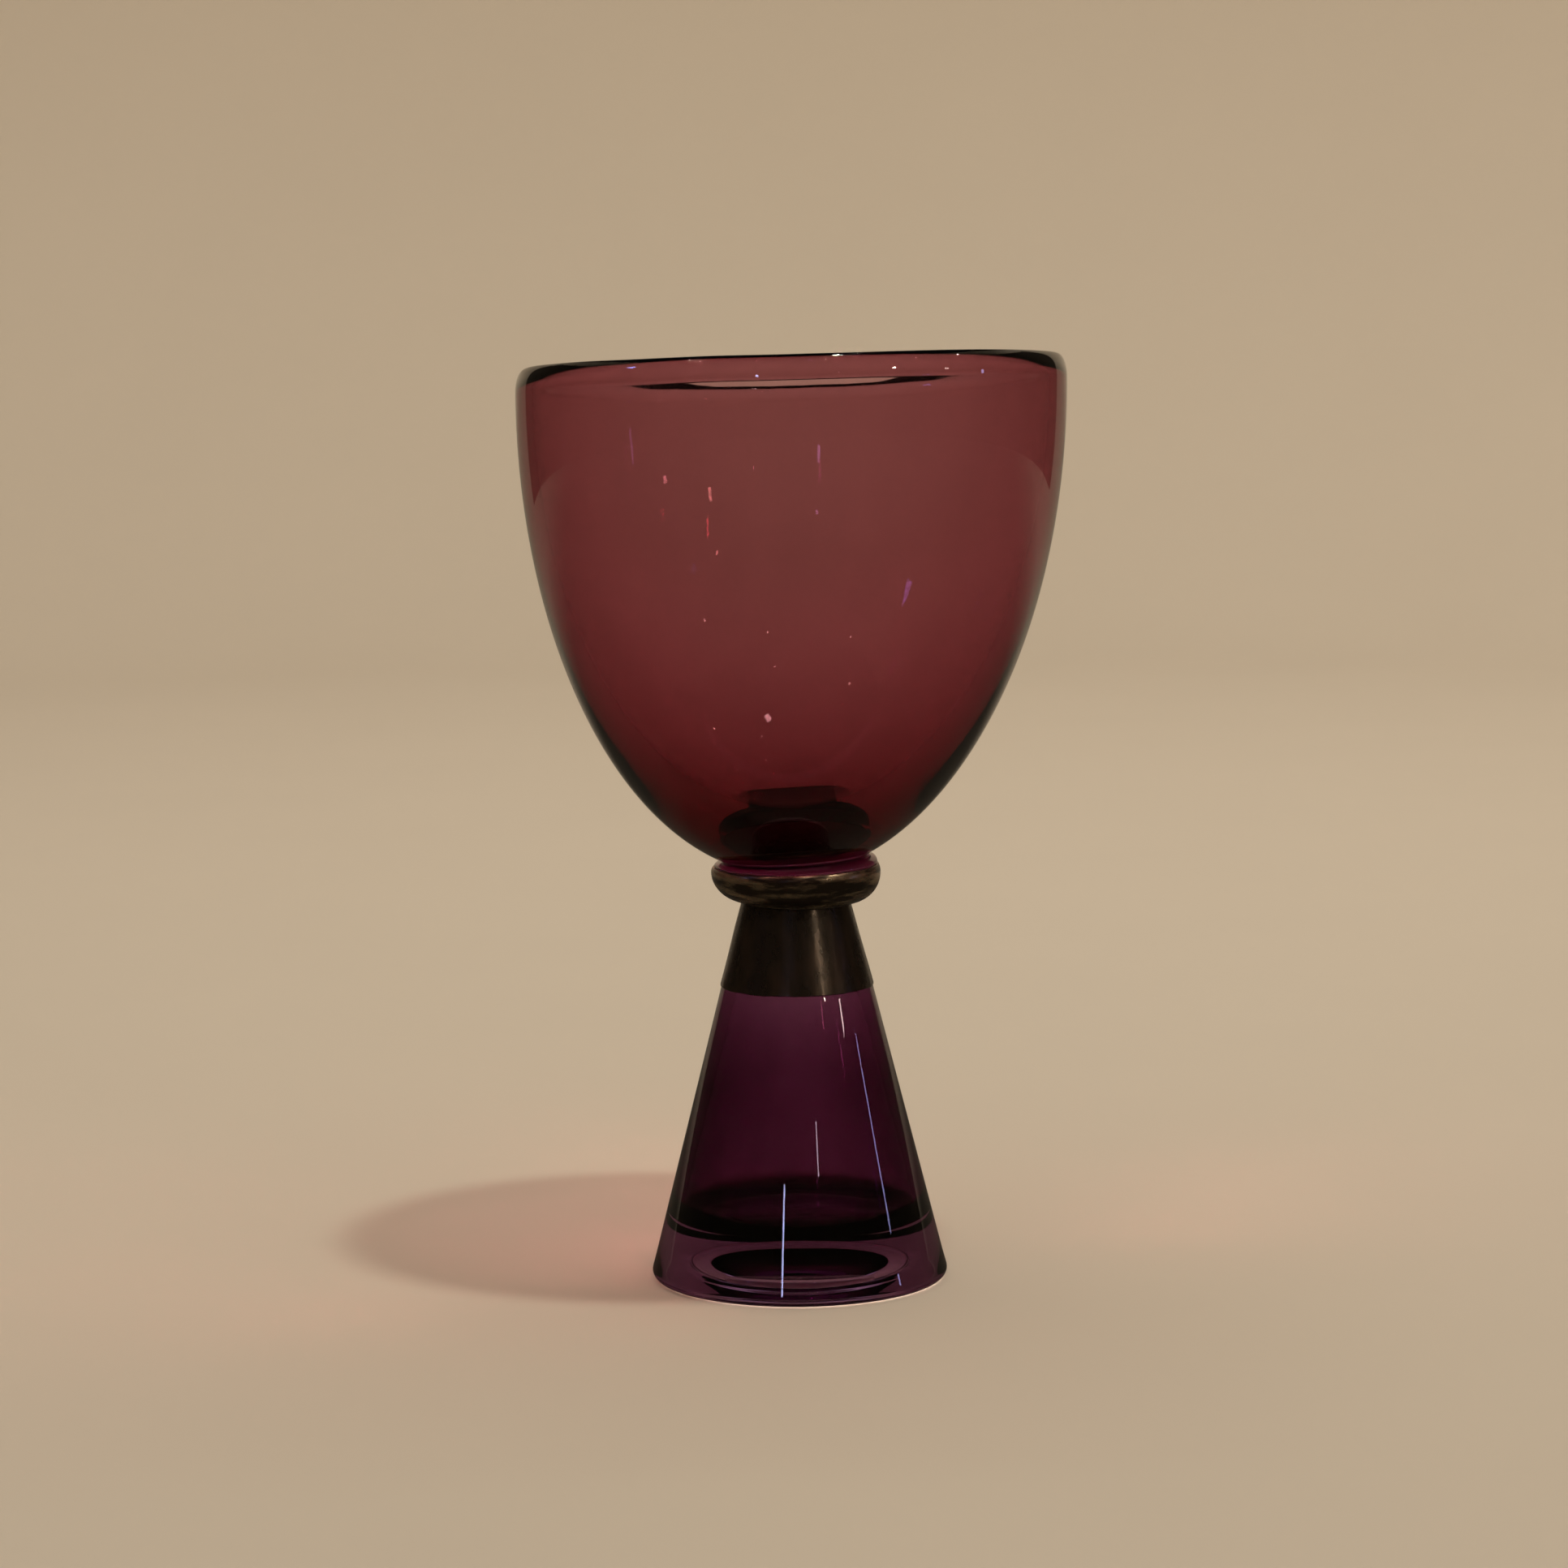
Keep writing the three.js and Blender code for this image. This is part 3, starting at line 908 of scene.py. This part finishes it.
class CHALICE_OT_metal(bpy.types.Operator):
    """Forms the blackened sleeve and ring, and runs the solder between them"""

    bl_idname = "chalice.metal"
    bl_label = "Sleeve, ring and solder"

    def execute(self, context):
        sizes, hues = context.scene.chalice_sizes, context.scene.chalice_colours
        mouth, sheet = sizes.spigot_radius + SPIGOT_ROOM, sizes.sleeve_sheet
        seam_radius = sizes.sleeve_top_radius
        plate = SLEEVE_TOP - sheet
        sleeve = [
            (mouth, plate),
            (sleeve_radius(sizes, plate) - sheet, plate),
            (sleeve_radius(sizes, SLEEVE_FOOT) - sheet, SLEEVE_FOOT),
            (SLEEVE_RADIUS, SLEEVE_FOOT),
            (seam_radius, SLEEVE_TOP),
            (mouth, SLEEVE_TOP),
            (mouth, plate),
        ]
        sheet_metal = blackened_metal(
            "Blackened brass sheet",
            hues.metal_dark,
            hues.metal_rubbed,
            stretch=(1.0, 1.0, 0.4),
            rough=0.26,
        )
        pressed = {
            "Crinkle": 0.3 * MM,
            "Crinkle Width": 5 * MM,
            "Edge Sway": 0.8 * MM,
            "Edge Height": SLEEVE_FOOT,
        }
        worn = {"edge": 0.2 * MM, "step": 0.7 * MM}
        turned_piece(
            context,
            "sleeve_metal",
            sleeve,
            sheet_metal,
            "blackened_metal",
            "sleeve",
            **worn,
            **pressed,
        )

        widest = RING_FOOT + sizes.ring_belly
        belly = (RING_RADIUS - seam_radius, sizes.ring_belly)
        bore = sizes.spigot_radius + BORE_ROOM
        crown_turn = math.asin((RING_TOP - widest) / CROWN[1])
        crown_centre = (RING_RADIUS - CROWN[0], widest)
        ring = [
            (bore, RING_TOP),
            (bore, RING_FOOT),
            *ellipse_arc((seam_radius, widest), belly, -QUARTER, 0.0, TIGHT_STEP),
            *ellipse_arc(crown_centre, CROWN, 0.0, crown_turn, longest=0.3 * MM)[1:],
            (bore, RING_TOP),
        ]
        ring_metal = blackened_metal(
            "Blackened brass ring",
            hues.metal_dark,
            hues.ring_rubbed,
            stretch=(0.4, 0.4, 2.2),
            rough=0.28,
        )
        turned_piece(
            context,
            "collar_ring_metal",
            ring,
            ring_metal,
            "blackened_metal",
            "collar_ring",
            **worn,
        )

        half = (RING_FOOT - SLEEVE_TOP) / 2
        bead_centre, bead = (seam_radius, SLEEVE_TOP + half), (0.3 * MM, half)
        seam = [
            (mouth, RING_FOOT),
            (mouth, SLEEVE_TOP),
            *ellipse_arc(bead_centre, bead, -QUARTER, QUARTER, longest=0.05 * MM),
            (mouth, RING_FOOT),
        ]
        solder = soft_solder("Soft solder", hues.solder)
        turned_piece(
            context,
            "solder_bead",
            seam,
            solder,
            "solder",
            "solder_seam",
            edge=0.02 * MM,
            step=0.8 * MM,
        )
        return {"FINISHED"}


class CHALICE_OT_bonds(bpy.types.Operator):
    """Sets the four adhesive bonds, which wet the glass that they touch"""

    bl_idname = "chalice.bonds"
    bl_label = "Bonds"

    def execute(self, context):
        sizes, hues = context.scene.chalice_sizes, context.scene.chalice_colours
        # The bonds take the adhesive tone with its painted glow, which shows through the neck glass
        adhesive = cured_adhesive("Cured adhesive with painted glow", hues.adhesive)
        spigot = sizes.spigot_radius
        bore, mouth = spigot + BORE_ROOM, spigot + SPIGOT_ROOM
        flange = FLANGE_RADIUS - BOND_INSET
        wetted, chamfer_top = spigot - WETTING, SPIGOT_FOOT + SPIGOT_CHAMFER
        shoulder_bond, tip_bond = SLEEVE_FOOT + FOOT_BOND_RISE, FOOT_TIP + SLEEVE_FILM
        tip_low = tip_radius(sizes, SLEEVE_FOOT) - WETTING
        tip_high = tip_radius(sizes, FOOT_TIP) - WETTING
        outlines = {
            "bowl_bond": [
                (0.0, NECK_TOP - WETTING),
                (BOND_RADIUS, NECK_TOP - WETTING),
                (BOND_RADIUS, BOWL_SEAT + WETTING),
                (0.0, BOWL_SEAT + WETTING),
            ],
            "neck_bond": [
                (bore, RING_TOP),
                (flange, RING_TOP),
                (flange, FLANGE_FOOT + WETTING),
                (bore, FLANGE_FOOT + WETTING),
                (bore, RING_TOP),
            ],
            "spigot_bond": [
                (wetted, chamfer_top),
                (mouth + WETTING, chamfer_top),
                (mouth + WETTING, FOOT_TIP),
                (wetted, FOOT_TIP),
                (wetted, chamfer_top),
            ],
            "foot_bond": [
                (tip_low, shoulder_bond),
                (sleeve_radius(sizes, SLEEVE_FOOT) - sizes.sleeve_sheet, shoulder_bond),
                (sleeve_radius(sizes, FOOT_TIP) - sizes.sleeve_sheet, tip_bond),
                (mouth, tip_bond),
                (mouth, FOOT_TIP - WETTING),
                (tip_high, FOOT_TIP - WETTING),
                (tip_low, shoulder_bond),
            ],
        }
        for node, outline in outlines.items():
            turned_piece(
                context,
                node + "_film",
                outline,
                adhesive,
                "adhesive",
                node,
                edge=0.05 * MM,
                step=1.5 * MM,
                Facets=96,
            )
        return {"FINISHED"}


def mirrored_ray(tree):
    """One for a ray that glass or metal mirrors, nought for any other."""
    path = add_node(tree, "ShaderNodeLightPath").outputs
    sides = (path["Is Glossy Ray"], path["Is Reflection Ray"])
    return add_node(tree, "ShaderNodeMath", {"operation": "MULTIPLY"}, sides).outputs[0]


def painted_backdrop(stage):
    """Matt painted board: pale, faintly mottled, and dimmed where only a mirrored ray sees it."""
    material, tree, out = new_material("Painted backdrop")
    where = add_node(tree, "ShaderNodeTexCoord").outputs["Object"]
    mottle = add_node(
        tree, "ShaderNodeTexNoise", None, {"Vector": where, "Scale": 1 / (120 * MM), "Detail": 3.0}
    ).outputs[0]
    tint = add_node(
        tree,
        "ShaderNodeMix",
        {"data_type": "RGBA"},
        {0: mottle, 6: (*[c * 0.97 for c in stage.backdrop], 1.0), 7: (*stage.backdrop, 1.0)},
    ).outputs[2]
    # Glass and metal mirror the floor and the low wall behind, and less of the rest
    axes = add_node(tree, "ShaderNodeSeparateXYZ", None, (where,)).outputs
    along = add_node(
        tree, "ShaderNodeMath", {"operation": "ADD"}, (axes["Y"], axes["Z"])
    ).outputs[0]
    whole = FLOOR_REACH + WALL_BEND + WALL_TOP
    share = add_node(tree, "ShaderNodeMath", {"operation": "DIVIDE"}, (along, whole)).outputs[0]
    cards = add_node(tree, "ShaderNodeValToRGB", None, (share,))
    stops = (
        (0.0, stage.floor_shine),
        (0.35, stage.floor_shine),
        (0.75, stage.shine / 2),
        (1.9, stage.shine / 2),
        (2.2, stage.shine),
        (3.3, stage.shine),
        (3.7, stage.card),
    )
    ramp = cards.color_ramp.elements
    while len(ramp) < len(stops):
        ramp.new(0.5)
    for stop, (place, level) in zip(ramp, stops):
        stop.position = place / whole
        stop.color = (*[c * level for c in stage.backdrop], 1.0)
    dimmed = add_node(
        tree,
        "ShaderNodeMix",
        {"data_type": "RGBA"},
        {0: mirrored_ray(tree), 6: tint, 7: cards.outputs[0]},
    ).outputs[2]
    paint = add_node(tree, "ShaderNodeBsdfDiffuse", None, {"Color": dimmed}).outputs[0]
    tree.links.new(paint, out.inputs["Surface"])
    return material


def black_card():
    """Black felt on card: seen only by a mirrored ray, and clear to any other."""
    material, tree, out = new_material("Black card")
    dark = (*linear("453F38"), 1.0)
    felt = add_node(tree, "ShaderNodeBsdfDiffuse", None, {"Color": dark}).outputs[0]
    gap = add_node(tree, "ShaderNodeBsdfTransparent").outputs[0]
    shown = add_node(
        tree, "ShaderNodeMixShader", None, (mirrored_ray(tree), gap, felt)
    ).outputs[0]
    tree.links.new(shown, out.inputs["Surface"])
    return material


def studio_world(stage):
    """Even, slightly warm light from all round, which mirrored rays hardly see."""
    world = bpy.data.worlds.new("Studio")
    world.use_nodes = True
    tree = world.node_tree
    sky = tree.nodes["Background"]
    sky.inputs["Color"].default_value = (*linear("FFFCF7"), 1.0)
    level = add_node(
        tree,
        "ShaderNodeMapRange",
        None,
        {
            "Value": mirrored_ray(tree),
            "To Min": stage.ambient,
            "To Max": stage.ambient * stage.card,
        },
    ).outputs[0]
    tree.links.new(level, sky.inputs["Strength"])
    return world


def sweep_mesh():
    """A round floor that sweeps up into a wall."""
    bend_centre = (FLOOR_REACH, FLOOR_LEVEL + WALL_BEND)
    bend = ellipse_arc(bend_centre, (WALL_BEND,) * 2, -QUARTER, 0.0, BEND_STEP)
    line = [
        (FLOOR_DISC, FLOOR_LEVEL),
        (FLOOR_REACH, FLOOR_LEVEL),
        *bend[1:],
        (FLOOR_REACH + WALL_BEND, WALL_TOP),
    ]
    around = SWEEP_FACETS
    points = [(0.0, 0.0, FLOOR_LEVEL)]
    faces = []
    for row, (radius, height) in enumerate(line):
        for k in range(around):
            turn = math.tau * k / around
            points.append((radius * math.cos(turn), radius * math.sin(turn), height))
            a, b = 1 + row * around + k, 1 + row * around + (k + 1) % around
            faces.append((0, a, b) if row == 0 else (a - around, a, b, b - around))
    mesh = bpy.data.meshes.new("backdrop")
    mesh.from_pydata(points, [], faces)
    mesh.polygons.foreach_set("use_smooth", [True] * len(faces))
    return mesh


def card_mesh(side):
    """A curved card round one side of the chalice, from near the wall behind to the front."""
    first, last = 37, 180
    points = []
    for k in range(CARD_STEPS + 1):
        turn = math.radians(first + (last - first) * k / CARD_STEPS)
        across, back = side * CARD_DISTANCE * math.sin(turn), CARD_DISTANCE * math.cos(turn)
        points += [(across, back, 0.0), (across, back, CARD_TOP)]
    faces = [(k, k + 2, k + 3, k + 1) for k in range(0, 2 * CARD_STEPS, 2)]
    mesh = bpy.data.meshes.new("card")
    mesh.from_pydata(points, [], faces)
    return mesh


def area_lamp(context, name, place, aim, size, watts, tone):
    """A rectangular studio lamp that the camera doesn't see."""
    lamp = bpy.data.lights.new(name, "AREA")
    lamp.shape = "RECTANGLE"
    lamp.size, lamp.size_y = size
    lamp.energy = watts
    lamp.color = linear(tone)
    holder = bpy.data.objects.new(name, lamp)
    holder.location = place
    holder.rotation_euler = (Vector(aim) - Vector(place)).to_track_quat("-Z", "Y").to_euler()
    holder.visible_camera = False
    context.scene.collection.objects.link(holder)
    return holder


def bearing(turn, height, distance):
    """A place around the chalice: degrees to the right of the camera's side, and degrees up."""
    a, e = math.radians(turn), math.radians(height)
    direction = Vector((math.sin(a) * math.cos(e), -math.cos(a) * math.cos(e), math.sin(e)))
    return Vector(STAGE_MIDDLE) + distance * direction


def set_lamps(context, stage):
    """A small key lamp, a wide fill on the wall, and little lamps that glass and metal mirror."""
    warm = "FFF8EE"
    key = Vector(STAGE_MIDDLE) + KEY_DISTANCE * Vector((0.179, -0.208, 0.96))
    area_lamp(context, "Key", key, STAGE_MIDDLE, (0.1, 0.1), stage.key_power, warm)
    fill_place, fill_aim, fill_size = (0.5, 0.7, 1.6), (0.4, 2.1, 0.4), (2.0, 0.5)
    fill = area_lamp(context, "Fill", fill_place, fill_aim, fill_size, stage.fill_power, warm)
    fill.visible_glossy = fill.visible_transmission = False
    for name, turn, height, size, share, tone in (
        ("Strip front", -14, 0.402, (0.035, 0.1), 2.6, "BCC5FF"),
        ("Strip right", 84, 0.283, (0.035, 0.12), 1.4, "B4B6FF"),
        ("Strip right front", 66, 0.435, (0.05, 0.03), 1.0, "FFE9DC"),
        ("Strip middle", 18.6, 0.468, (0.015, 0.03), 0.4, "E6DCE8"),
        ("Strip sleeve", 42, 0.56, (0.04, 0.07), 14.0, "FFE8CE"),
        ("Strip neck", -75, 1.0, (0.1, 0.1), 8.0, "8FA0FF"),
    ):
        flat = bearing(turn, 0.0, STRIP_DISTANCE)
        place = (flat[0], flat[1], height)
        watts = stage.strip_power * share
        strip = area_lamp(context, name, place, STAGE_MIDDLE, size, watts, tone)
        strip.visible_diffuse = False
    # Small lamps whose mirror images sparkle in the far side of the bowl
    bearings = (
        (58, 38),
        (16, 47),
        (-47, 46),
        (13, 57),
        (-64, 56),
        (87, 42),
        (108, 54),
        (85, 77),
        (146, 72),
    )
    for k, (turn, height) in enumerate(bearings):
        name, place = "Spot %d" % (k + 1), bearing(turn, height, SPOT_DISTANCE)
        size, watts = (SPOT_SIZE, SPOT_SIZE), stage.spot_power
        spot = area_lamp(context, name, place, STAGE_MIDDLE, size, watts, "FFF1DC")
        spot.visible_diffuse = False


def set_camera(scene):
    """The camera that was fitted to the photograph."""
    lens = bpy.data.cameras.new("Camera")
    lens.sensor_width = 36.0
    lens.lens = 106.776
    lens.clip_start = 0.01
    lens.clip_end = 50.0
    camera = bpy.data.objects.new("Camera", lens)
    place = Vector((-2.87, -1200.65, 282.72)) * MM
    pitch, roll = math.radians(7.237), math.radians(-0.597)
    ahead = Vector((0.0, math.cos(pitch), -math.sin(pitch)))
    upright = Vector((0.0, math.sin(pitch), math.cos(pitch)))
    side = Vector((1.0, 0.0, 0.0))
    right = math.cos(roll) * side + math.sin(roll) * upright
    top = -math.sin(roll) * side + math.cos(roll) * upright
    turned = Matrix((right, top, -ahead)).transposed().to_4x4()
    camera.matrix_world = Matrix.Translation(place) @ turned
    scene.collection.objects.link(camera)
    scene.camera = camera


class CHALICE_OT_stage(bpy.types.Operator):
    """Sets the floor and backdrop, the lamps and the camera"""

    bl_idname = "chalice.stage"
    bl_label = "Stage"

    def execute(self, context):
        scene, stage = context.scene, context.scene.chalice_stage
        scene.view_settings.view_transform = "Standard"
        scene.world = studio_world(stage)
        backdrop = bpy.data.objects.new("backdrop", sweep_mesh())
        backdrop.data.materials.append(painted_backdrop(stage))
        scene.collection.objects.link(backdrop)
        # Dark cards that only show as mirrored, for the dark edges of the foot
        black = black_card()
        for side in (-1, 1):
            card = bpy.data.objects.new("Card", card_mesh(side))
            card.data.materials.append(black)
            card.visible_camera = card.visible_diffuse = card.visible_shadow = False
            scene.collection.objects.link(card)
        set_lamps(context, stage)
        set_camera(scene)
        return {"FINISHED"}


STEPS = (
    CHALICE_OT_bowl,
    CHALICE_OT_foot,
    CHALICE_OT_neck,
    CHALICE_OT_metal,
    CHALICE_OT_bonds,
    CHALICE_OT_stage,
)
GROUPS = {
    "chalice_sizes": ChaliceSizes,
    "chalice_hand": ChaliceHand,
    "chalice_colours": ChaliceColours,
    "chalice_stage": ChaliceStage,
}


class CHALICE_PT_panel(bpy.types.Panel):
    """Lists the chalice's pieces and sizes"""

    bl_idname = "CHALICE_PT_panel"
    bl_label = "Glass chalice"
    bl_space_type = "VIEW_3D"
    bl_region_type = "UI"
    bl_category = "Chalice"

    def draw(self, context):
        for step in STEPS:
            self.layout.operator(step.bl_idname)
        for name, kind in GROUPS.items():
            box = self.layout.box()
            for size in kind.__annotations__:
                box.prop(getattr(context.scene, name), size)


def register():
    for kind in (*GROUPS.values(), *STEPS, CHALICE_PT_panel):
        bpy.utils.register_class(kind)
    for name, kind in GROUPS.items():
        setattr(bpy.types.Scene, name, PointerProperty(type=kind))


def unregister():
    for name in GROUPS:
        delattr(bpy.types.Scene, name)
    for kind in reversed((*GROUPS.values(), *STEPS, CHALICE_PT_panel)):
        bpy.utils.unregister_class(kind)


def main():
    register()
    bpy.ops.chalice.bowl()
    bpy.ops.chalice.foot()
    bpy.ops.chalice.neck()
    bpy.ops.chalice.metal()
    bpy.ops.chalice.bonds()
    bpy.ops.chalice.stage()


if __name__ == "__main__":
    main()
